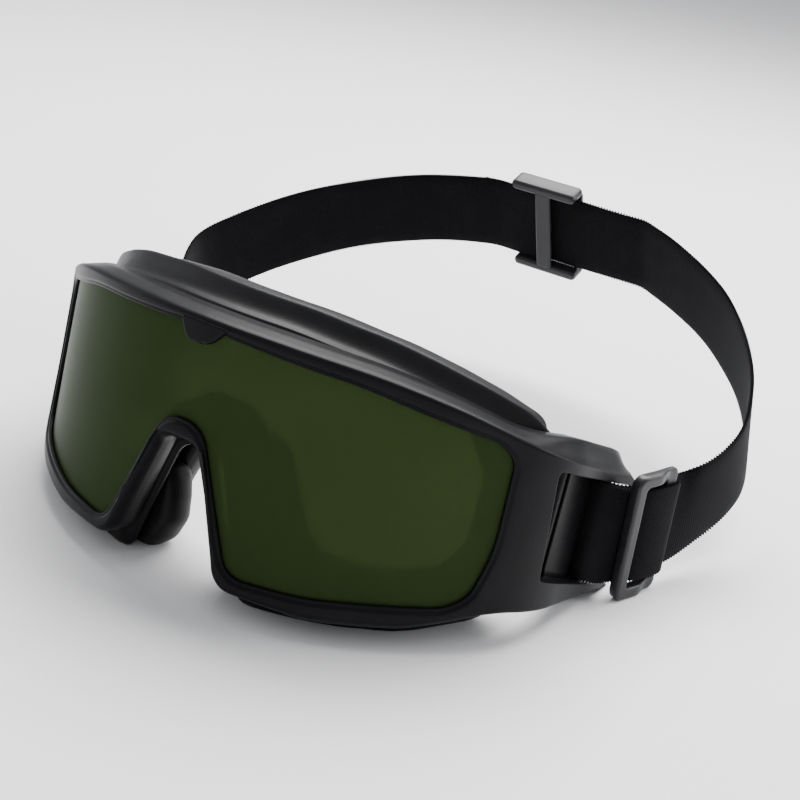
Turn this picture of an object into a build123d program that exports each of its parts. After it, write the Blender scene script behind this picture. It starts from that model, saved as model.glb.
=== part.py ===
from build123d import *
import os
from math import asin, atan2, cos, degrees, hypot, pi, radians, sin, sqrt, tan

# Welding goggles: a wrap-round bezel with a dark green window, a face body with a soft seal,
# and an elastic head strap held by two temple buckles and one rear slider.
# Millimetres. The hard parts are drawn upright (+X wearer's left, +Y to the back, +Z up,
# zero at the middle of the window) and then leaned back so that they rest on the ground.

# ---- driving dimensions -------------------------------------------------------------------
FACE_RADIUS = 102.0        # plan radius of the bezel's front face
WRAP_ANGLE = 53.0          # half angle of that radius before the temples turn straight back
TEMPLE_RADIUS = 37.0       # plan radius of each temple corner
BEZEL_DEPTH = 9.0          # thickness of the bezel and the temple arms
LENS_RECESS = 2.0          # window face behind the bezel face
LENS_THICKNESS = 2.2
LENS_BITE = 1.1            # window edge hidden in the rebate
FIT = 0.3                  # clearance between separate hard parts
ARM_END = 99.5             # rear tips of the temple arms
BODY_DEPTH = 22.0          # rear face of the face body behind the bezel face
SEAL_DEPTH = 34.0          # rear lip of the soft seal
LEAN = 9.6                 # backward lean of the goggles at rest, degrees
REST_HEIGHT = 48.8         # window centre above the ground when it rests

STRAP_WIDTH = 30.0
STRAP_THICKNESS = 1.4
DOUBLE_THICKNESS = 2.6     # strap and its returned end together
BUCKLE_HEIGHT = 40.0
BUCKLE_LENGTH = 18.5
BUCKLE_BAR = 3.7
BUCKLE_THICKNESS = 3.6
SLIDER_LENGTH = 27.0
SLIDER_HEIGHT = 38.0
SLIDER_BAR = 5.0
SLIDER_OFFSET = -12.0      # rear slider sits a little to the wearer's right

LOOP_CENTRE = (-4.0, 22.0)  # ellipse of the strap loop in its own inclined plane
LOOP_HALF_WIDTH = 112.0
LOOP_HALF_DEPTH = 113.0
LOOP_SLOPE = 22.0          # rise of the loop towards the back of the head, degrees
LOOP_ROOT = (95.0, 13.3)   # y and z where the loop's plane passes the temples
HINGE = (116.0, 23.0)      # y and z of the line about which the strap swings
HINGE_RADIUS = 17.5

face_centre_y = FACE_RADIUS - LENS_RECESS


# ---- plan curves and prisms ---------------------------------------------------------------
def wrap_edges(inset, y_end):
    """Plan curve of the bezel face moved inwards: front arc, temple corners, straight arms."""
    angle = radians(WRAP_ANGLE)
    big = FACE_RADIUS - inset
    small = TEMPLE_RADIUS - inset
    x1 = big * sin(angle)
    y1 = face_centre_y - big * cos(angle)
    cx = x1 - small * sin(angle)
    cy = y1 + small * cos(angle)
    half = (angle + pi / 2) / 2
    xm = cx + small * sin(half)
    ym = cy - small * cos(half)
    x2 = cx + small
    return [
        Line((-x2, y_end), (-x2, cy)),
        ThreePointArc((-x2, cy), (-xm, ym), (-x1, y1)),
        ThreePointArc((-x1, y1), (0, face_centre_y - big), (x1, y1)),
        ThreePointArc((x1, y1), (xm, ym), (x2, cy)),
        Line((x2, cy), (x2, y_end)),
    ]


def wrap_shell(inset_front, inset_back, y_end, low=-80.0, high=60.0):
    """Upright curved wall between two insets of the bezel face."""
    outer = wrap_edges(inset_front, y_end)
    inner = wrap_edges(inset_back, y_end)
    ends = [
        Line(outer[0] @ 0, inner[0] @ 0),
        Line(outer[-1] @ 1, inner[-1] @ 1),
    ]
    face = make_face([*outer, *inner, *ends])
    return extrude(Pos(0, 0, low) * face, high - low)


def depth_shell(front, back, half_width, low=-80.0, high=60.0):
    """Upright wall between two copies of the face arc moved straight back."""
    sagitta = face_centre_y - sqrt(FACE_RADIUS ** 2 - half_width ** 2)
    apex = face_centre_y - FACE_RADIUS
    near = ThreePointArc(
        (-half_width, sagitta + front), (0, apex + front), (half_width, sagitta + front))
    far = ThreePointArc(
        (-half_width, sagitta + back), (0, apex + back), (half_width, sagitta + back))
    face = make_face([near, far, Line(near @ 0, far @ 0), Line(near @ 1, far @ 1)])
    return extrude(Pos(0, 0, low) * face, high - low)


def front_prism(points, radii, rise=0.0):
    """Front-view outline (x, z), mirrored about x = 0 and run back; rise tilts the run."""
    mirrored = [(-x, z) for x, z in reversed(points) if x > 0]
    loop = [*points, *mirrored]
    loop_radii = [*radii, *[r for (x, z), r in reversed(list(zip(points, radii))) if x > 0]]
    outline = FilletPolyline(*[(x, z, 0) for x, z in loop], radius=loop_radii, close=True)
    face = Plane.XZ * make_face(outline.edges())
    start = Pos(0, -30, -30 * tan(radians(rise))) * face
    return extrude(start, 200, dir=(0, cos(radians(rise)), sin(radians(rise))))


def side_prism(points, low, high):
    """Side-view outline (y, z) run across from x = low to x = high."""
    face = Plane.YZ * make_face(Polyline(*points, close=True).edges())
    return extrude(Pos(low, 0, 0) * face, high - low, dir=(1, 0, 0))


def both_sides(solid):
    return [solid, mirror(solid, Plane.YZ)]


# ---- front-view outlines ------------------------------------------------------------------
def window_prism(grow):
    """The visible window, grown all round: two rounded lobes joined over the nose."""
    g = grow
    points = [
        (0, 25.1 + g), (45, 22.3 + g), (77.6 + g, 14.6 + g), (78.0 + g, -14),
        (75 + g, -31 - g), (42, -36.4 - g), (21.5 - g, -37.2 - g), (6.4 - g, -0.3 - g),
    ]
    radii = [0, 80, 8 + g, 60, 9 + g, 60, 7 + g, 7 - g]
    return front_prism(points, radii)


def nose_prism(apex, shoulder, foot, radius):
    """Space for the nose: a round-topped wedge open below."""
    points = [(shoulder, apex), (foot, -62)]
    return front_prism(points, [radius, 0])


# ---- goggles ------------------------------------------------------------------------------
WINDOW_SLOPE = radians(-12.3)    # the temple slots run down towards the back


def slot_edge(y, upper=True):
    """Height of the temple slot's upper or lower edge at y."""
    y0, z0 = (47.5, 9.8) if upper else (51.0, -22.0)
    return z0 + (y - y0) * tan(WINDOW_SLOPE)


def slot_prism(y_front_top, y_front_low, y_back, inset=0.0):
    points = [
        (y_front_top, slot_edge(y_front_top) - inset),
        (y_back, slot_edge(y_back) - inset),
        (y_back, slot_edge(y_back, False) + inset),
        (y_front_low, slot_edge(y_front_low, False) + inset),
    ]
    return side_prism(points, 60, 100)


def make_front_frame():
    """Bezel with both temple arms; the window sits in a rebate behind its lip."""
    top = front_prism(
        [(0, 28.5), (27, 27.2), (53, 22.9), (66, 18.4), (84, 7.6), (84.01, 60), (120, 60),
         (120, -120), (0, -120)],
        [0, 60, 60, 60, 0, 0, 0, 0, 0], rise=11)
    bottom = front_prism(
        [(0, 60), (120, 60), (120, -31.2), (84, -31.2), (66, -38.2), (44, -41.3), (17, -40.6),
         (6.5, -6.2)],
        [0, 0, 0, 30, 40, 40, 8, 6.4])
    arm_side = side_prism(
        [(-20, 60), (40, 60), (40, 20.5), (62, 15.7), (88, 9.6), (94, 6.4), (ARM_END, 0.8),
         (ARM_END, -32.4), (92, -32.9), (60, -31.2), (-20, -70)], -100, 100)
    blank = wrap_shell(0, BEZEL_DEPTH, 110) & top & bottom & arm_side
    chamfer = front_prism(
        [(0, 120), (84.5, 120), (84.5, 31.5), (89.3, 24.0), (130, 24.0), (130, -120), (0, -120)],
        [0, 0, 0, 0, 0, 0, 0], rise=-13)
    frame = blank & chamfer
    frame -= window_prism(0)
    rebate = wrap_shell(LENS_RECESS - 0.1, BEZEL_DEPTH + 1, 60) & window_prism(LENS_BITE + 0.3)
    frame -= rebate
    for slot in both_sides(slot_prism(47.5, 51.0, 112)):
        frame -= slot
    return frame + make_window_tab()


def make_window_tab():
    """Small tongue of the bezel that holds the top middle of the window."""
    tongue = front_prism([(0, 27.0), (7.0, 26.6), (3.2, 21.6), (0, 21.6)], [0, 0, 1.5, 0])
    return tongue & wrap_shell(-1.2, LENS_RECESS - 0.1, 30)


def make_lens():
    back = LENS_RECESS + LENS_THICKNESS
    return wrap_shell(LENS_RECESS, back, 60) & window_prism(LENS_BITE)


def cavity():
    """Hollow behind the window; its side walls close in towards the face."""
    plan = Polyline((-77, -20), (77, -20), (77, 40), (67, 60), (67, 110), (-67, 110), (-67, 60),
                    (-77, 40), close=True)
    column = extrude(Pos(0, 0, -80) * make_face(plan.edges()), 140)
    return column & window_prism(-2.0)


def ground_trim(solid):
    """Keep what lies above the resting plane of the leaned goggles."""
    s, c = sin(radians(LEAN)), cos(radians(LEAN))
    reach = [(y, (y * s - REST_HEIGHT) / c) for y in (-60, 160)]
    return solid - side_prism([reach[0], reach[1], (160, -120), (-60, -120)], -130, 130)


def make_rear_frame():
    """Face body: a spigot that holds the window, and the ridge that stands round the bezel."""
    outline = front_prism(
        [(0, 35.4), (20, 35.2), (42, 32.6), (64, 25.2), (78, 17.5), (79.2, -20), (77, -37),
         (57, -45.4), (40, -48.0), (19, -47.6), (7.0, -9.5)],
        [0, 90, 70, 60, 6, 30, 10, 30, 30, 8, 7.0])
    body = depth_shell(BEZEL_DEPTH + FIT, BODY_DEPTH, 79.5) & outline
    body -= wrap_shell(-10, BEZEL_DEPTH + FIT, 140)
    spigot_start = LENS_RECESS + LENS_THICKNESS + 0.1
    spigot = wrap_shell(spigot_start, BEZEL_DEPTH + FIT + 0.4, 60) & window_prism(LENS_BITE)
    return ground_trim((body + spigot) - cavity())


def make_face_seal():
    """Soft face seal with a bulging flap on each side of the nose."""
    outline = front_prism(
        [(0, 33.6), (20, 33.4), (42, 30.6), (63, 23.4), (74.5, 15), (75.3, -20), (72, -33),
         (56, -39.6), (40, -42.3), (21, -43.0), (5.0, -14.0)],
        [0, 90, 70, 60, 7, 30, 10, 30, 30, 8, 5.0])
    lip = depth_shell(BODY_DEPTH + FIT + 0.2, SEAL_DEPTH, 76) & outline
    face_opening = front_prism(
        [(0, 25), (40, 21), (60, 14), (66, 2), (66, -18), (60, -28.5), (44, -33.5), (26, -32),
         (13.5, -5)],
        [0, 60, 8, 6, 10, 8, 14, 8, 8])
    return lip - face_opening


def make_anchor():
    """Temple insert: concave ramp, step, panel, and the bar that the strap goes round."""
    profile = Polyline(
        (80.2, 47.5), (86.1, 47.5), (84.3, 53), (83.6, 61.4), (84.3, 61.4), (85.0, 77.6),
        (80.2, 77.6), close=True)
    column = extrude(Pos(0, 0, -60) * make_face(profile.edges()), 100)
    insert = column & slot_prism(47.5, 51.0, 90)
    cheek_room = slot_prism(70, 70, 84.0) - slot_prism(60, 60, 90, inset=1.0)
    cheeks = cheek_room & Pos(84.3, 80, -12) * Box(3.8, 12, 60)
    bar = slot_prism(80.4, 80.4, 83.4) & Pos(85.2, 82, -12) * Box(2.0, 12, 60)
    return insert + cheeks + bar


def lean_back(solid):
    return Pos(0, 0, REST_HEIGHT) * Rot(-LEAN, 0, 0) * solid


# ---- strap path ---------------------------------------------------------------------------
TEMPLE_START = (90.9, -9.7)      # strap beside the slot: x and distance behind LOOP_ROOT
TEMPLE_SPREAD = 0.316            # x gained per millimetre backwards along the buckle
TEMPLE_REACH = 18.4              # end of the straight stretch
JOIN_ANGLE = radians(16)         # ellipse angle where the loop takes over
FLAT_HALF = 31.0                 # half length of the straight stretch under the slider
RISE_START = 16.0
RISE_END = 46.0


def ellipse_point(angle, side):
    x = LOOP_CENTRE[0] + side * LOOP_HALF_WIDTH * cos(angle)
    return x, LOOP_CENTRE[1] + LOOP_HALF_DEPTH * sin(angle)


def hermite(p0, t0, p1, t1, u):
    a = 2 * u ** 3 - 3 * u ** 2 + 1
    b = u ** 3 - 2 * u ** 2 + u
    c = 3 * u ** 2 - 2 * u ** 3
    d = u ** 3 - u ** 2
    return tuple(a * p + b * s + c * q + d * t for p, s, q, t in zip(p0, t0, p1, t1))


def plan_route(side, steps=10):
    """Plan points (x, e) from the temple slot to the middle of the back."""
    start = (side * TEMPLE_START[0], TEMPLE_START[1])
    reach = TEMPLE_REACH - TEMPLE_START[1]
    end = (start[0] + side * TEMPLE_SPREAD * reach, TEMPLE_REACH)
    join = ellipse_point(JOIN_ANGLE, side)
    span = join[1] - end[1]
    leave = (side * TEMPLE_SPREAD * span, span)
    arrive = (-side * tan(JOIN_ANGLE) * span, span)
    route = [start, ((start[0] + end[0]) / 2, (start[1] + end[1]) / 2)]
    route += [hermite(end, leave, join, arrive, i / 4) for i in range(4)]
    flat_angle = pi / 2 - asin(FLAT_HALF / LOOP_HALF_WIDTH)
    for i in range(steps + 1):
        route.append(ellipse_point(JOIN_ANGLE + (flat_angle - JOIN_ANGLE) * i / steps, side))
    return route


def rise(e):
    """Height of the strap's middle: level at the buckle, then up along the loop's plane."""
    slope = sin(radians(LOOP_SLOPE))
    if e <= RISE_START:
        return 20.0
    if e >= RISE_END:
        return LOOP_ROOT[1] + e * slope
    top = LOOP_ROOT[1] + RISE_END * slope
    u = (e - RISE_START) / (RISE_END - RISE_START)
    return 20.0 + (top - 20.0) * u * u


def loop_lean(e):
    u = min(max((e - RISE_START) / (RISE_END - RISE_START), 0.0), 1.0)
    return radians(LOOP_SLOPE) * u * u * (3 - 2 * u)


def place(x, e):
    back = e if e < TEMPLE_REACH else TEMPLE_REACH + (e - TEMPLE_REACH) * cos(radians(LOOP_SLOPE))
    return Vector(x, LOOP_ROOT[0] + back, rise(e))


def band(route, thickness, shift=0.0, side=1):
    """Elastic band along plan points; shift moves it outwards from the head."""
    centres = [place(x, e) for x, e in route]
    wires = []
    for i, (x, e) in enumerate(route):
        before = centres[max(i - 1, 0)]
        after = centres[min(i + 1, len(route) - 1)]
        lean = loop_lean(e)
        up = Vector(0, -sin(lean), cos(lean))
        out = (after - before).cross(up).normalized() * side
        up = up * (STRAP_WIDTH / 2)
        middle = centres[i] + out * shift
        half = out * (thickness / 2)
        corners = [middle - half - up, middle + half - up, middle + half + up, middle - half + up]
        wires.append(Wire.make_polygon([tuple(p) for p in corners], close=True))
    return Solid.make_loft(wires, ruled=True)


def hinge_drum(radius):
    y, z = HINGE
    return Pos(0, y, z) * Rot(0, 90, 0) * Cylinder(radius, 300)


def flat_stretch(x_end, shift):
    """Straight run of one strap end under the slider."""
    e = ellipse_point(pi / 2 - asin(FLAT_HALF / LOOP_HALF_WIDTH), 1)[1]
    return (x_end, e + shift)


def make_strap(side, shift):
    """Main strap of one side, from behind the buckle to its end past the rear slider."""
    route = plan_route(side)
    overlap_end = SLIDER_OFFSET - 27 if side > 0 else SLIDER_OFFSET + 1
    ramp = [0, 0, 0, 0, 0.3, 0.8, 1.0]
    bent = []
    for i, (x, e) in enumerate(route):
        k = ramp[max(i - (len(route) - len(ramp)), 0)]
        bent.append((x, e + shift * k))
    bent.append(flat_stretch(overlap_end, shift))
    whole = band(bent, STRAP_THICKNESS, side=side)
    return whole - hinge_drum(HINGE_RADIUS + 0.4) - Pos(0, HINGE[0] - 30, 20) * Box(300, 60, 60)


def make_strap_end(side):
    """Strap round the temple bar and back, doubled through the buckle."""
    route = plan_route(side)[:5]
    doubled = band(route, DOUBLE_THICKNESS, side=side)
    doubled &= hinge_drum(HINGE_RADIUS) + Pos(0, HINGE[0] - 30, 20) * Box(300, 60, 60)
    return doubled


def make_loop(side):
    """Part of the strap inside the temple slot, bent round the anchor's bar."""
    path = Polyline(
        (89.2, 81.6), (87.2, 78.7), (83.9, 78.7), (82.4, 80.2), (82.4, 84.2), (83.8, 85.6),
        (89.2, 87.6), (89.2, 86.0), (85.0, 84.2), (83.9, 83.6), (83.9, 80.6), (84.4, 80.1),
        (86.8, 80.1), (89.2, 83.4), close=True)
    column = extrude(Pos(0, 0, -60) * make_face(path.edges()), 100)
    loop = column & slot_prism(60, 60, 100, inset=1.3)
    return loop if side > 0 else mirror(loop, Plane.YZ)


# ---- buckles and slider -------------------------------------------------------------------
def buckle_frame(side):
    """Local frame of a temple buckle: x runs back along the strap, z up, y inwards."""
    x0, e0 = TEMPLE_START
    lift = DOUBLE_THICKNESS / 2 + 0.2 + BUCKLE_THICKNESS
    along = Vector(side * TEMPLE_SPREAD, 1, 0).normalized()
    outward = Vector(side * along.Y, -side * along.X, 0)
    origin = Vector(side * x0, LOOP_ROOT[0] + e0, 0) + outward * lift
    return Plane(origin=origin, x_dir=along, z_dir=(0, 0, 1)), outward


def buckle_block(side, s0, s1, depth0, depth1, z0, z1):
    """Box in the buckle's frame: s along the strap, depth inwards from the outer face."""
    plane, outward = buckle_frame(side)
    along = plane.x_dir
    middle = plane.origin + along * ((s0 + s1) / 2) - outward * ((depth0 + depth1) / 2)
    box = Box(s1 - s0, depth1 - depth0, z1 - z0)
    turn = degrees(atan2(along.Y, along.X))
    return Pos(middle.X, middle.Y, (z0 + z1) / 2) * Rot(0, 0, turn) * box


def make_buckle(side):
    """Rectangular slide buckle: front bar, hidden rear bar, top and bottom rails."""
    bar = BUCKLE_BAR
    block = buckle_block(side, 0, BUCKLE_LENGTH, 0, BUCKLE_THICKNESS, 0, BUCKLE_HEIGHT)
    block = fillet(block.edges().filter_by(lambda e: abs(e.length - BUCKLE_THICKNESS) < 0.01), 2.4)
    window = buckle_block(side, bar, BUCKLE_LENGTH - 4.2, -5, 9, bar, BUCKLE_HEIGHT - bar)
    rear_seat = buckle_block(
        side, BUCKLE_LENGTH - 4.2, BUCKLE_LENGTH + 5, -5, 2.3, bar + 0.4, BUCKLE_HEIGHT - bar - 0.4)
    return block - window - rear_seat


def make_tail(side):
    """Hemmed end of the strap, seen in the buckle's window and folded over its rear bar."""
    low = (BUCKLE_HEIGHT - STRAP_WIDTH) / 2
    high = low + STRAP_WIDTH
    face = buckle_block(side, BUCKLE_BAR + 0.3, BUCKLE_LENGTH - 4.3, 1.9, 3.3, low, high)
    over = buckle_block(side, BUCKLE_LENGTH - 5.5, BUCKLE_LENGTH + 1.6, 0.6, 2.2, low, high)
    fold = buckle_block(side, BUCKLE_LENGTH + 0.2, BUCKLE_LENGTH + 1.6, 0.6, 3.5, low, high)
    return face + over + fold


def make_slider():
    """Three-bar slide at the back: rails top and bottom, end bars outside, middle bar inside."""
    e = flat_stretch(0, 0)[1]
    middle = place(SLIDER_OFFSET, e)
    half = SLIDER_LENGTH / 2
    gap = STRAP_THICKNESS + 0.6
    rail_height = (SLIDER_HEIGHT - STRAP_WIDTH - 1.0) / 2
    rail_z = SLIDER_HEIGHT / 2 - rail_height / 2
    rail_depth = 2 * gap + 4.0
    parts = []
    for z in (rail_z, -rail_z):
        rail = Pos(0, 0, z) * Box(SLIDER_LENGTH, rail_depth, rail_height)
        ends = rail.edges().filter_by(Axis.Y)
        parts.append(fillet(ends, 1.2))
    for x in (-half + 1.8, half - 1.8):
        parts.append(Pos(x, gap + 1.0, 0) * Box(3.4, 2.0, SLIDER_HEIGHT - 2))
    parts.append(Pos(0, -gap - 1.0, 0) * Box(SLIDER_BAR, 2.0, SLIDER_HEIGHT - 2))
    slide = parts[0] + parts[1] + parts[2] + parts[3] + parts[4]
    return Pos(middle.X, middle.Y, middle.Z) * Rot(LOOP_SLOPE, 0, 0) * slide


# ---- assembly -----------------------------------------------------------------------------
def build_nodes():
    nodes = {}
    nodes["front_frame"] = lean_back(make_front_frame())
    nodes["lens"] = lean_back(make_lens())
    nodes["rear_frame"] = lean_back(make_rear_frame())
    nodes["face_seal"] = lean_back(make_face_seal())
    anchors = both_sides(make_anchor())
    for name, side, anchor in (("left", 1, anchors[0]), ("right", -1, anchors[1])):
        nodes[f"strap_anchor_{name}"] = lean_back(anchor)
        nodes[f"strap_loop_{name}"] = lean_back(make_loop(side))
        nodes[f"strap_end_{name}"] = make_strap_end(side)
        nodes[f"strap_tail_{name}"] = make_tail(side)
        nodes[f"buckle_{name}"] = make_buckle(side)
    spacing = (STRAP_THICKNESS + 0.3) / 2
    nodes["strap_left"] = make_strap(1, spacing)
    nodes["strap_right"] = make_strap(-1, -spacing)
    nodes["rear_slider"] = make_slider()
    return nodes


def main():
    nodes = build_nodes()
    boxes = [solid.bounding_box() for solid in nodes.values()]
    low = [min(getattr(box.min, axis) for box in boxes) for axis in "XYZ"]
    high = [max(getattr(box.max, axis) for box in boxes) for axis in "XYZ"]
    shift = Pos(-(low[0] + high[0]) / 2, -(low[1] + high[1]) / 2, -low[2])
    os.makedirs("parts", exist_ok=True)
    for name, solid in nodes.items():
        print(name, len(solid.solids()), round(solid.volume), solid.is_valid)
        export_step(shift * solid, f"parts/{name}.step")
    print("low", [round(v, 2) for v in low], "high", [round(v, 2) for v in high])


main()
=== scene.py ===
from math import cos, pi, radians, sin, tan

import bmesh
import bpy
import numpy as np
from mathutils import Matrix, Vector
from mathutils.geometry import delaunay_2d_cdt


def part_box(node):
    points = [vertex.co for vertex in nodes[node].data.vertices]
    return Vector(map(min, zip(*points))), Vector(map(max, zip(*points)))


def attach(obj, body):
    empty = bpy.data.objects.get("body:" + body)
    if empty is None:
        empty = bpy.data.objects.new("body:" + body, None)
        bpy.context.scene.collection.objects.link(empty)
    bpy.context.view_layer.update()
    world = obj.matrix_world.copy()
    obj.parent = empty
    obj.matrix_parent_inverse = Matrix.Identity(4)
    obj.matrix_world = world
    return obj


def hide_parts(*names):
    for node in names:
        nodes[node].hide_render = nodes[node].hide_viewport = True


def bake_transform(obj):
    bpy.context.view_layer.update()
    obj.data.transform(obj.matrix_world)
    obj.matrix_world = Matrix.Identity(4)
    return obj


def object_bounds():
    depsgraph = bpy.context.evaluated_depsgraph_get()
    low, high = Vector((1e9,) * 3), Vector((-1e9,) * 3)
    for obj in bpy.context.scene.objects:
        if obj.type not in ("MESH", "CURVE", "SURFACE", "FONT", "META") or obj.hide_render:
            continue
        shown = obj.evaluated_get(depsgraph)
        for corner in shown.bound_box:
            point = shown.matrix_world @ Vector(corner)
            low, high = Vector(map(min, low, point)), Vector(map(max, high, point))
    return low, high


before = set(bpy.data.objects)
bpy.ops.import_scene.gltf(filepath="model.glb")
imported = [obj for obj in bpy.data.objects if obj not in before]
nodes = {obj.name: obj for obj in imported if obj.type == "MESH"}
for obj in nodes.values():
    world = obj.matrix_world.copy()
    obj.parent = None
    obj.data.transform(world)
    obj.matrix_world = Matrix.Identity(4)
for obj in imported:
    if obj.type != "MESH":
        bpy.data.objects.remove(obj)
cad_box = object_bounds()
cad_low = np.array(cad_box[0]) * 1000.0

# ---- where the goggles are in the row frame (millimetres) ----------------------------------
ROW_X = float((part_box("lens")[0][0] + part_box("lens")[1][0]) * 500.0)
ROW_Y = float(cad_low[1] + 6.92)
LEAN = radians(9.6)
REST_HEIGHT = 48.8

# plan of the bezel's outer face
FACE_R = 102.0
WRAP = radians(53.0)
TEMPLE_R = 37.0
FACE_C = 100.0


def lean_back(p):
    """Upright goggle coordinates to the row frame."""
    p = np.asarray(p, float)
    x, y, z = p[..., 0], p[..., 1], p[..., 2]
    yt = y * cos(LEAN) + z * sin(LEAN) + ROW_Y
    zt = -y * sin(LEAN) + z * cos(LEAN) + REST_HEIGHT
    return np.stack([x + ROW_X, yt, zt], -1)


def level(p):
    """Coordinates over the table, from the window's middle, to the row frame."""
    p = np.asarray(p, float)
    return p + np.array([ROW_X, ROW_Y, 0.0])


def rest_clear(p):
    """Presses a soft or trimmed edge flat where it meets the table."""
    p = np.array(p, float)
    low = p[..., 2]
    p[..., 2] = np.where(low < 0.35, 0.12 + 0.1 * np.log1p(np.exp(np.clip((low - 0.12) / 0.1, -30, 30))), low)
    return p


S_KNEE = FACE_R * WRAP
S_ARM = S_KNEE + TEMPLE_R * (pi / 2 - WRAP)
ARM_Y = FACE_C - FACE_R * cos(WRAP) + TEMPLE_R * cos(WRAP)
ARM_X = (FACE_R - TEMPLE_R) * sin(WRAP) + TEMPLE_R


def wrap(s, z, off):
    """Point at distance s round the bezel's face, height z, off millimetres inside the face."""
    s, z, off = np.broadcast_arrays(np.asarray(s, float), z, off)
    a = np.abs(s)
    turn = np.where(a < S_KNEE, a / FACE_R, WRAP + (a - S_KNEE) / TEMPLE_R)
    turn = np.minimum(turn, pi / 2)
    kx = (FACE_R - TEMPLE_R) * sin(WRAP)
    ky = FACE_C - (FACE_R - TEMPLE_R) * cos(WRAP)
    x = np.where(a < S_KNEE, FACE_R * np.sin(turn), kx + TEMPLE_R * np.sin(turn))
    y = np.where(a < S_KNEE, FACE_C - FACE_R * np.cos(turn), ky - TEMPLE_R * np.cos(turn))
    y = y + np.maximum(a - S_ARM, 0.0)
    x = x - off * np.sin(turn)
    y = y + off * np.cos(turn)
    return np.stack([np.sign(s) * x, y, z], -1)


def s_of_x(x, off=0.0):
    x = np.asarray(x, float)
    return np.sign(x) * FACE_R * np.arcsin(np.clip(np.abs(x) / (FACE_R - off), 0, 0.9999))


def s_of_y(y):
    """Distance round the face of a temple point at depth y."""
    ky = FACE_C - (FACE_R - TEMPLE_R) * cos(WRAP)
    y = np.asarray(y, float)
    turn = np.arccos(np.clip((ky - y) / TEMPLE_R, 0, 1))
    return np.where(y > ky, S_ARM + y - ky, S_KNEE + TEMPLE_R * (turn - WRAP))


# ---- outlines -------------------------------------------------------------------------------
def rounded(points, radii, step=1.5, closed=True):
    """Dense polyline through corners rounded to the given radii."""
    pts = [np.array(p, float) for p in points]
    n = len(pts)
    out = []
    for i, (p, r) in enumerate(zip(pts, radii)):
        if not closed and i in (0, n - 1):
            out.append(p)
            continue
        a, b = pts[i - 1] - p, pts[(i + 1) % n] - p
        la, lb = np.linalg.norm(a), np.linalg.norm(b)
        a, b = a / la, b / lb
        half = 0.5 * np.arccos(np.clip(a @ b, -1, 1))
        if r <= 0 or half > pi / 2 - 0.01:
            out.append(p)
            continue
        cut = min(r / np.tan(half), 0.49 * la, 0.49 * lb)
        r = cut * np.tan(half)
        centre = p + (a + b) / np.linalg.norm(a + b) * r / np.sin(half)
        start, end = p + a * cut - centre, p + b * cut - centre
        sweep = pi - 2 * half
        cross = start[0] * end[1] - start[1] * end[0]
        k = max(3, int(np.ceil(sweep * r / min(step, 0.25 * r + 0.15))))
        for j in range(k + 1):
            t = sweep * j / k * (1 if cross > 0 else -1)
            c, s = np.cos(t), np.sin(t)
            out.append(centre + np.array([c * start[0] - s * start[1], s * start[0] + c * start[1]]))
    out = np.array(out)
    return resample(out, step, closed)


def resample(pts, step, closed=True):
    """Adds points so that no gap is wider than step; keeps the given points."""
    out = []
    m = len(pts)
    for i in range(m if closed else m - 1):
        p, q = pts[i], pts[(i + 1) % m]
        d = np.linalg.norm(q - p)
        if d < 1e-6:
            continue
        k = max(1, int(np.ceil(d / step)))
        for j in range(k):
            out.append(p + (q - p) * j / k)
    if not closed:
        out.append(pts[-1])
    return np.array(out)


def mirrored(points, radii):
    """Right half of a symmetric outline, top middle first, to the whole outline."""
    left = [((-x, z), r) for (x, z), r in zip(points, radii) if x > 0][::-1]
    return [*points, *[p for p, r in left]], [*radii, *[r for p, r in left]]


def smooth_line(points, step=2.0):
    """Smooth curve through points given from left to right."""
    p = np.array(points, float)
    t = np.concatenate([[0], np.cumsum(np.linalg.norm(np.diff(p, axis=0), axis=1))])
    m = np.gradient(p, t, axis=0)
    u = np.linspace(0, t[-1], max(2, int(t[-1] / step)) + 1)
    i = np.clip(np.searchsorted(t, u) - 1, 0, len(t) - 2)
    h = (t[i + 1] - t[i])[:, None]
    w = ((u - t[i]) / (t[i + 1] - t[i]))[:, None]
    return ((2 * w ** 3 - 3 * w ** 2 + 1) * p[i] + (w ** 3 - 2 * w ** 2 + w) * h * m[i]
            + (3 * w ** 2 - 2 * w ** 3) * p[i + 1] + (w ** 3 - w ** 2) * h * m[i + 1])


def area(loop):
    x, y = loop[:, 0], loop[:, 1]
    return 0.5 * np.sum(x * np.roll(y, -1) - y * np.roll(x, -1))


def outward(loop, sign):
    """Unit normals of a closed loop; sign +1 for an outer loop, -1 for a hole."""
    t = np.roll(loop, -1, 0) - np.roll(loop, 1, 0)
    t /= np.linalg.norm(t, axis=1)[:, None] + 1e-12
    n = np.stack([t[:, 1], -t[:, 0]], 1)
    return n * sign * np.sign(area(loop))


def soften(values, k):
    """Smooths numbers given along a closed loop, over about k points each way."""
    v = np.asarray(values, float)
    ring = np.concatenate([v[-3 * k:], v, v[:3 * k]])
    kernel = np.exp(-0.5 * (np.arange(-2 * k, 2 * k + 1) / k) ** 2)
    kernel /= kernel.sum()
    return np.convolve(ring, kernel, "same")[3 * k:-3 * k]


def inside(pts, loops):
    """Even-odd test of 2-D points against closed loops."""
    hit = np.zeros(len(pts), bool)
    for loop in loops:
        a, b = loop, np.roll(loop, -1, 0)
        for (x0, y0), (x1, y1) in zip(a, b):
            if y0 == y1:
                continue
            cond = (pts[:, 1] > min(y0, y1)) & (pts[:, 1] <= max(y0, y1))
            xs = x0 + (pts[:, 1] - y0) * (x1 - x0) / (y1 - y0)
            hit ^= cond & (pts[:, 0] < xs)
    return hit


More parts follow.
